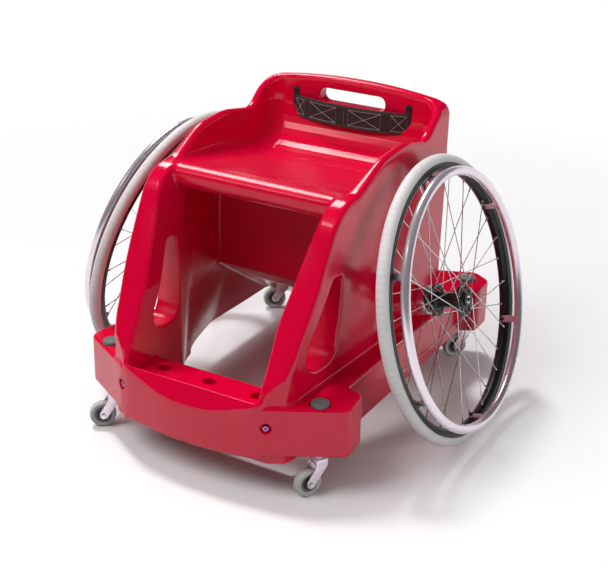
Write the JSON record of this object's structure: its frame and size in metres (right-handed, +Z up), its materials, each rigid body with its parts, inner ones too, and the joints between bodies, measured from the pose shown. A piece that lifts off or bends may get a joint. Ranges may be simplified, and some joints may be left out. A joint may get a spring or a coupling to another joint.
{
  "type": "sports wheelchair",
  "caption": "Low sports wheelchair: moulded bucket seat on a base ring with swivel castors, and cambered spoked drive wheels with handrims.",
  "frame": {"origin": "centre of the bounding box at the floor", "axes": "+Z up from the floor; the chair faces -Y; +X to the chair's left-hand wheel as its user sits, which is on the right of the picture"},
  "size_m": [0.8932, 0.8307, 0.641],
  "materials": {
    "moulded_shell": "glossy crimson, rotationally moulded",
    "black_anodised": "black anodised, satin",
    "steel": "bright turned",
    "polished_aluminium": "polished",
    "tyre": "pale grey rubber, smooth tread",
    "castor_tyre": "pale grey, soft",
    "grey_plastic": "mid grey",
    "webbing": "woven, stitched in white",
    "violet_bolt": "anodised violet"
  },
  "bodies": {
    "chair": {"body_shell": "moulded_shell", "back_strap": "webbing", "axle_tube": "steel", "axle_receiver_left": "steel", "quick_release_axle_left": "steel", "front_bolt_left": "violet_bolt", "strap_bolt_left": "black_anodised", "axle_receiver_right": "steel", "quick_release_axle_right": "steel", "front_bolt_right": "violet_bolt", "strap_bolt_right": "black_anodised", "castor_sleeve_front_left": "steel", "castor_bearing_front_left": "steel", "castor_cap_front_left": "grey_plastic", "castor_sleeve_front_right": "steel", "castor_bearing_front_right": "steel", "castor_cap_front_right": "grey_plastic", "castor_sleeve_rear_left": "steel", "castor_bearing_rear_left": "steel", "castor_cap_rear_left": "grey_plastic", "castor_sleeve_rear_right": "steel", "castor_bearing_rear_right": "steel", "castor_cap_rear_right": "grey_plastic"},
    "drive_wheel_left": {"wheel_hub_left": "black_anodised", "hub_bearing_inner_left": "steel", "hub_bearing_outer_left": "steel", "spokes_inner_left": "steel", "spokes_outer_left": "steel", "rim_left": "black_anodised", "tyre_left": "tyre", "valve_left": "black_anodised", "handrim_left": "polished_aluminium"},
    "button_left": {"quick_release_button_left": "black_anodised"},
    "drive_wheel_right": {"wheel_hub_right": "black_anodised", "hub_bearing_inner_right": "steel", "hub_bearing_outer_right": "steel", "spokes_inner_right": "steel", "spokes_outer_right": "steel", "rim_right": "black_anodised", "tyre_right": "tyre", "valve_right": "black_anodised", "handrim_right": "polished_aluminium"},
    "button_right": {"quick_release_button_right": "black_anodised"},
    "castor_fork_front_left": {"castor_fork_front_left": "polished_aluminium", "castor_bolt_front_left": "steel"},
    "castor_wheel_front_left": {"castor_tyre_front_left": "castor_tyre", "castor_hub_front_left": "grey_plastic"},
    "castor_fork_front_right": {"castor_fork_front_right": "polished_aluminium", "castor_bolt_front_right": "steel"},
    "castor_wheel_front_right": {"castor_tyre_front_right": "castor_tyre", "castor_hub_front_right": "grey_plastic"},
    "castor_fork_rear_left": {"castor_fork_rear_left": "polished_aluminium", "castor_bolt_rear_left": "steel"},
    "castor_wheel_rear_left": {"castor_tyre_rear_left": "castor_tyre", "castor_hub_rear_left": "grey_plastic"},
    "castor_fork_rear_right": {"castor_fork_rear_right": "polished_aluminium", "castor_bolt_rear_right": "steel"},
    "castor_wheel_rear_right": {"castor_tyre_rear_right": "castor_tyre", "castor_hub_rear_right": "grey_plastic"}
  },
  "joints": [
    {"name": "drive_wheel_left_spin", "type": "hinge", "parent": "chair", "child": "drive_wheel_left", "pos_m": [-0.338, 0.0458, 0.28661], "axis": [-0.9686, 0, 0.2487], "continuous": true},
    {"name": "button_left_press", "type": "slide", "parent": "chair", "child": "button_left", "axis": [-0.9686, 0, 0.2487], "range_m": [-0.004, 0], "stiffness_N_per_m": 400},
    {"name": "drive_wheel_right_spin", "type": "hinge", "parent": "chair", "child": "drive_wheel_right", "pos_m": [0.338, 0.0458, 0.28661], "axis": [0.9686, 0, 0.2487], "continuous": true},
    {"name": "button_right_press", "type": "slide", "parent": "chair", "child": "button_right", "axis": [0.9686, 0, 0.2487], "range_m": [-0.004, 0], "stiffness_N_per_m": 400},
    {"name": "castor_front_left_swivel", "type": "hinge", "parent": "chair", "child": "castor_fork_front_left", "pos_m": [-0.2435, -0.3192, 0.157], "axis": [0, 0, 1], "continuous": true},
    {"name": "castor_front_left_spin", "type": "hinge", "parent": "castor_fork_front_left", "child": "castor_wheel_front_left", "pos_m": [-0.26133, -0.33526, 0.0275], "axis": [0.6691, -0.7431, 0], "continuous": true},
    {"name": "castor_front_right_swivel", "type": "hinge", "parent": "chair", "child": "castor_fork_front_right", "pos_m": [0.2435, -0.3192, 0.157], "axis": [0, 0, 1], "continuous": true},
    {"name": "castor_front_right_spin", "type": "hinge", "parent": "castor_fork_front_right", "child": "castor_wheel_front_right", "pos_m": [0.2315, -0.33998, 0.0275], "axis": [0.866, -0.5, 0], "continuous": true},
    {"name": "castor_rear_left_swivel", "type": "hinge", "parent": "chair", "child": "castor_fork_rear_left", "pos_m": [-0.243, 0.3678, 0.157], "axis": [0, 0, 1], "continuous": true},
    {"name": "castor_rear_left_spin", "type": "hinge", "parent": "castor_fork_rear_left", "child": "castor_wheel_rear_left", "pos_m": [-0.26191, 0.35302, 0.0275], "axis": [0.6157, -0.788, 0], "continuous": true},
    {"name": "castor_rear_right_swivel", "type": "hinge", "parent": "chair", "child": "castor_fork_rear_right", "pos_m": [0.243, 0.3678, 0.157], "axis": [0, 0, 1], "continuous": true},
    {"name": "castor_rear_right_spin", "type": "hinge", "parent": "castor_fork_rear_right", "child": "castor_wheel_rear_right", "pos_m": [0.22726, 0.34969, 0.0275], "axis": [0.7547, -0.6561, 0], "continuous": true}
  ]
}
